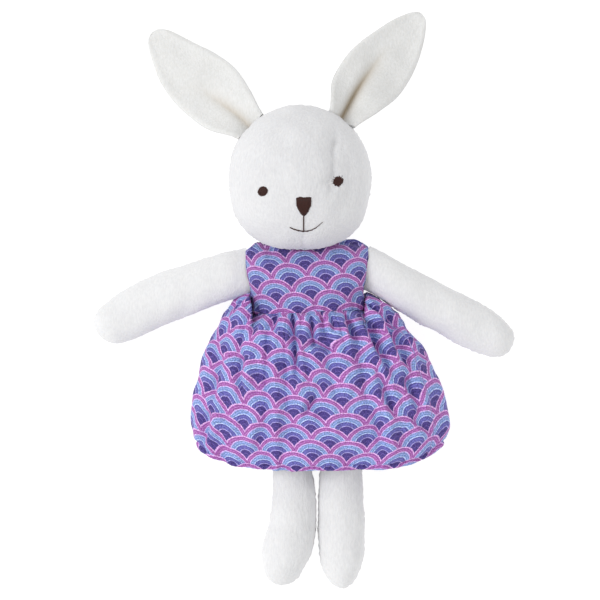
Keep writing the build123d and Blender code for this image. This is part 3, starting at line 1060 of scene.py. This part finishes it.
def make_bodice():
    """Front panel and two back panels with armholes, a neckline and a folded edge."""
    rows = 100
    fine = np.linspace(0, 2 * pi, 2881)
    # A middling section of the bodice shares out the columns evenly round it
    run = length_along(37.5 * boxy(np.cos(fine), 0.7), 20 * boxy(np.sin(fine), 0.7))
    for name, turns, flat in (
        ("bodice_front", (0.0, pi), 0.112),
        ("bodice_back_left", (pi, 1.5 * pi), 0.056),
        ("bodice_back_right", (1.5 * pi, 2 * pi), 0.056),
    ):
        columns = round(BODICE_COLUMNS * flat)
        lengths = np.interp(turns, fine, run)
        turn = np.interp(np.linspace(*lengths, columns), run, fine)
        points, to_top, to_low = bodice_grid(turn, rows)
        normal = outward(points, np.array([BODICE_X, 20, TORSO_MIDDLE]))
        hem = 0.3 * smooth(2.6, 0.4, to_top) - 0.35 * hill(to_top - 3.0, 0.5)
        waist = -0.4 * hill(to_low, 0.9)
        soft = 0.4 * ripple(points, 15, 51) + 0.2 * ripple(points, 6, 52, (1, 2.2, 1))
        puckers = 0.5 * ripple(points, 4.5, 53, (1, 5, 1)) * hill(to_low, 6)
        height = hem + waist + soft + puckers
        outer = points + normal * height[..., None]
        nest = under_head(outer[..., 0], outer[..., 1]) - HEAD_GAP
        front = outer[..., 2] > TORSO_MIDDLE
        outer[..., 2] = np.where(front, np.minimum(outer[..., 2], nest), outer[..., 2])
        inner = outer - normal * (CLOTH + 0.3 * smooth(2.6, 0.4, to_top))[..., None]
        outer = rest_on_floor(outer, 0.4, 0.4)
        inner = rest_on_floor(inner, 1.1, 0.3)
        shape = shell(outer, inner)
        if name == "bodice_front":  # the print runs outwards from the middle of the panel
            inward = 20.0 * np.abs(np.sin(turn)) ** BODICE_BOXY
            length = length_along(points[..., 0], inward)
            middle = length[:, columns // 2 - 1 : columns // 2 + 1].mean(axis=1, keepdims=True)
            length = middle - length
        else:
            length = np.interp(pi / 2, fine, run) - np.interp(turn, fine, run)
        length = (length - FAN_PLACE[0]) * BODICE_PULL
        rise = points[..., 1] - FAN_PLACE[1]
        u = length * cos(TWIST) + rise * (sin(TWIST) + LEAN)
        v = rise * cos(TWIST) - length * sin(TWIST)
        uvs, reverse = both_sides(u, v)
        piece = make_piece(
            f"{name}_cotton", name, shape, SHADED_BODICE_COTTON, "torso", uvs, reverse
        )


# The bell of the skirt from the waist to the hem
SKIRT_HALF = (38.5, 48.8, 57.5, 63.8, 69.6, 74.5, 78.5, 81.0, 77.0)
SKIRT_X = (-0.5, -0.3, 1.0, 2.2, 3.5, 4.7, 5.7, 6.7, 6.5)
SKIRT_SIDE_Y = (11.2, 3.0, -7.8, -18.0, -28.5, -40.5, -54.0, -69.0, -84.0)
SKIRT_FRONT_Y = (2.4, -10.5, -24.0, -37.5, -50.5, -63.5, -76.0, -88.0, -99.0)
SKIRT_DEPTH = (23.5, 28.5, 30.5, 31.0, 31.0, 30.5, 29.5, 27.5, 24.5)
# Deep folds on the front: both ends in plan, depth and half width
SKIRT_VALLEYS = (
    (-11.0, 0.0, -8.0, -46.0, 6.2, 1.9),
    (-20.5, -1.0, -22.5, -18.0, 4.0, 1.5),
    (0.5, -2.0, 2.4, -27.0, 4.6, 1.6),
    (1.0, -20.0, 17.0, -25.0, 3.0, 1.5),
    (-30.0, 0.0, -37.0, -20.0, 3.6, 1.7),
    (-42.0, -28.0, -44.0, -56.0, 4.4, 2.2),
    (-56.0, -30.0, -62.0, -62.0, 3.0, 2.0),
    (12.0, -1.0, 15.5, -15.0, 4.0, 1.5),
    (22.0, 0.0, 29.0, -22.0, 4.2, 1.8),
    (33.0, -2.0, 53.0, -46.0, 6.0, 2.2),
    (47.0, -4.0, 66.0, -44.0, 5.0, 2.2),
    (41.0, -34.0, 53.0, -72.0, 3.4, 2.1),
    (60.0, -40.0, 70.0, -74.0, 3.6, 2.0),
    (3.0, -53.0, -5.0, -67.0, 3.0, 1.8),
    (62.0, -66.0, 76.0, -78.0, 3.0, 2.0),
    (-62.0, -62.0, -67.0, -86.0, 3.4, 2.2),
    (41.0, -60.0, 46.0, -94.0, 3.0, 2.4),
    (-30.0, -72.0, -34.0, -94.0, 2.0, 2.6),
)
SKIRT_FLAT = (17 * 21.9, 106.0)  # a whole number of fans round, so that the print closes
SKIRT_FAN_PLACE = (109.5, 105.2)  # middle of one fan, from the right side and from the waist
PRINT_SAG = 1.2  # how far its rows rise and sink across the front
PRINT_WAVE = 74.0  # from one sag to the next
SKIRT_MIDDLE = np.array([0, -50, TORSO_MIDDLE])
HEM_LINE = 3.4  # from the hem's edge to its stitch line
HEM_PUCKER = 3.4  # from one pucker of that line to the next
GATHERS, MID_FOLDS, WIDE_FOLDS = 30, 15, 9  # how many of each go round
FOLD_HIDES = 0.85  # cloth hidden on each side of a fold, as a part of its depth
FRONT_DENSITY = 0.32  # how much closer the columns lie on the front
SKIRT_ROWS = 112
SKIRT_COLUMNS = 440


def under_bodice(x, y):
    """Highest place in front where the skirt still comes out from under the bodice."""
    across = np.abs(x - BODICE_X - 1.0) / dress_half_width(y)
    arch = np.sqrt(np.clip(1 - np.minimum(across, 1) ** 2.1, 0, 1))
    below = np.maximum(BODICE_LOW + BODICE_SLOPE * x - y, 0)
    return np.where(across < 1, TORSO_MIDDLE + dress_depth(y) * arch - 1.1 + 2.6 * below, 200.0)


def pleat(phase):
    """Height of gathers with round crests and sharp valleys, from -1 to 1."""
    return 2 * np.abs(np.cos(phase / 2)) ** 0.8 - 1


def skirt_bell(t, share):
    """Grid of the smooth bell and each point's turn round it.

    t goes from the waist to the hem, and share goes round the cloth from the right side.
    """
    half = curve(SKIRT_HALF, t)
    depth = curve(SKIRT_DEPTH, t)
    once = 1440  # steps in one turn
    fine = np.linspace(0, 3 * pi, 3 * once // 2 + 1)
    turns = []
    for wide, deep in zip(half, depth):
        run = length_along(wide * np.cos(fine), deep * np.sin(fine))
        turns.append(np.interp(share * run[once], run, fine))
    turn = np.array(turns)
    side = np.abs(np.cos(turn)) ** (2 + 2.6 * smooth(0.3, 1, t))
    y = side * curve(SKIRT_SIDE_Y, t) + (1 - side) * curve(SKIRT_FRONT_Y, t)
    x = curve(SKIRT_X, t) + half * np.cos(turn)
    return grid(x, y, TORSO_MIDDLE + depth * np.sin(turn)), turn


def skirt_gathers(points, front, t, share):
    """Heights of the gathers, the random folds and the hem over the bell."""
    round_it = 2 * pi * share
    ring = grid(np.cos(share * 2 * pi), np.sin(share * 2 * pi), 0.004 * t * SKIRT_FLAT[1])
    wander = ripple(ring, 0.9, 61)
    wander_low = ripple(ring, 0.6, 62)
    fine_gathers = pleat(GATHERS * round_it + 2.4 * wander)
    mid_folds = pleat(MID_FOLDS * round_it + 2.0 * wander + 0.8)
    wide_folds = np.cos(WIDE_FOLDS * round_it + 1.8 * wander_low)
    fading = 2.8 * np.exp(-t / 0.13) + 0.8 * np.exp(-t / 0.4)
    height = (
        fine_gathers * smooth(-0.005, 0.04, t) * fading * (1 + 0.4 * wander_low)
        + mid_folds * (2.3 * smooth(0.02, 0.16, t) * (1 - 0.8 * smooth(0.25, 0.95, t)))
        + wide_folds * (1.5 * smooth(0.15, 0.7, t))
        + 0.9 * ripple(points, 22, 63)
        + 0.45 * ripple(points, 8, 64) * (1 - 0.5 * smooth(0.3, 0.8, t))
    )
    height = height * (1 - 0.6 * (1 - np.abs(front)) * smooth(0.1, 0.3, t))
    to_hem = (1 - t) * SKIRT_FLAT[1]
    hem = -1.6 * hill(to_hem - HEM_LINE, 0.8) + 0.5 * smooth(HEM_LINE, 0.8, to_hem)
    puckers = 0.5 * np.abs(front) * np.cos(round_it * SKIRT_FLAT[0] / HEM_PUCKER + 1.5 * wander)
    puckers = puckers * hill(to_hem - HEM_LINE + 1, 3)
    tuck = -1.9 * hill(t, 0.018)
    return height + hem + puckers + tuck


def skirt_valleys(points, front):
    """Heights of the placed folds over the bell, and how much cloth they hide sideways."""
    x, y = points[..., 0], points[..., 1]
    height = hidden = 0
    for *ends, deep, wide in SKIRT_VALLEYS:
        start, stop = np.array(ends).reshape(2, 2)
        away, along = distance_to_line(x, y, (start, stop))
        fading = smooth(0, 0.12, along + 0.05) * smooth(0, 0.45, 1.02 - along) * (front > 0)
        crest = 0.45 * hill(away - 2.4 * wide, 1.2 * wide)
        height = height + (crest - hill(away, wide)) * deep * fading
        run = (stop - start) / np.hypot(*(stop - start))
        side = (x - start[0]) * run[1] - (y - start[1]) * run[0]
        hidden = hidden + FOLD_HIDES * deep * np.tanh(side / wide) * hill(away, 22) * fading
    return height, hidden


def make_skirt():
    """Gathered skirt: one sheet round the waist, falling into folds."""
    t = np.linspace(0, 1, SKIRT_ROWS)[:, None]
    even = np.arange(SKIRT_COLUMNS) / SKIRT_COLUMNS
    share = even + FRONT_DENSITY * np.cos(2 * pi * even) / (2 * pi)
    points, turn = skirt_bell(t, share)
    front = np.sin(turn)
    level = outward(points, SKIRT_MIDDLE, True)
    level[..., 1] *= smooth(0.0, 0.25, t)
    height, hidden = skirt_valleys(points, front)
    height = height + skirt_gathers(points, front, t, share)
    outer = points + level * height[..., None]
    cap = np.minimum(outer[..., 2], under_bodice(outer[..., 0], outer[..., 1]))
    outer[..., 2] = np.where(front > 0, cap, outer[..., 2])
    outer = rest_on_floor(outer, 0.4, 0.5)
    to_hem = (1 - t) * SKIRT_FLAT[1]
    thickness = 0.5 + 0.45 * smooth(HEM_LINE + 0.6, HEM_LINE - 0.4, to_hem)  # doubled at the hem
    inner = outer - outward(outer, SKIRT_MIDDLE, True) * thickness[..., None]
    shape = shell(outer, rest_on_floor(inner, 0.9, 0.3), True)
    sag = PRINT_SAG * np.sin(2 * pi * (points[..., 0] - 3) / PRINT_WAVE) * smooth(0, 0.4, front)
    u = share * SKIRT_FLAT[0] - SKIRT_FAN_PLACE[0] + hidden
    v = SKIRT_FAN_PLACE[1] - t * SKIRT_FLAT[1] + sag
    uvs, reverse = both_sides(u, v)
    piece = make_piece("skirt_cotton", "skirt", shape, COTTON, None, uvs, reverse)
    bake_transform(piece)


NECK_TOP = (52.0, 26.0)  # along the doll and above the floor
NECK_RADIUS = 10.5
NECK_GATHERS = 14


def make_neck():
    """Short gathered sleeve between the torso and the head."""
    base = pivot("neck_tilt")
    rows, columns = 30, 90
    part = np.linspace(0, 1, rows)[:, None]
    turn = np.linspace(0, 2 * pi, columns, endpoint=False)
    start = base - (0, 8, 3)
    stop = np.array([base[0], *NECK_TOP])
    axis = (stop - start) / np.linalg.norm(stop - start)
    side = np.array([1.0, 0, 0])
    lift = np.cross(side, axis)
    gathers = 0.5 * np.cos(turn * NECK_GATHERS) * (0.4 + part)
    radius = NECK_RADIUS - 1.5 * np.sin(pi * part) + gathers
    points = (
        start
        + (stop - start) * part[..., None]
        + side * (1.25 * radius * np.cos(turn))[..., None]
        + lift * (0.85 * radius * np.sin(turn))[..., None]
    )
    points = rest_on_floor(points, 3.0)
    points = points + outward(points, (start + stop) / 2, True) * (0.6 * pile(points))[..., None]
    tube = closed_tube(points)
    piece = make_piece("neck_sleeve", "neck_join", tube, SEAM_VELOUR, None)
    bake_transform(piece)


def finish_cad_nodes():
    """Materials for the small CAD pieces that stay as they are."""
    kept = {
        SEAM_VELOUR: ("hip_seam", "shoulder_join_left", "shoulder_join_right"),
        TAPE: ("hook_tape", "loop_tape"),
        RIBBON: ("care_label",),
    }
    for material, nodes in kept.items():
        for node in nodes:
            materials = frame["nodes"][node].data.materials
            materials.clear()
            materials.append(material)


set_the_stage()
face = make_head()
make_eyes(face)
make_nose(face)
make_mouth(face)
for side in EARS:
    make_ear(side)
for name in LIMBS:
    make_limb(name)
make_torso()
make_neck()
make_bodice()
make_skirt()
finish_cad_nodes()
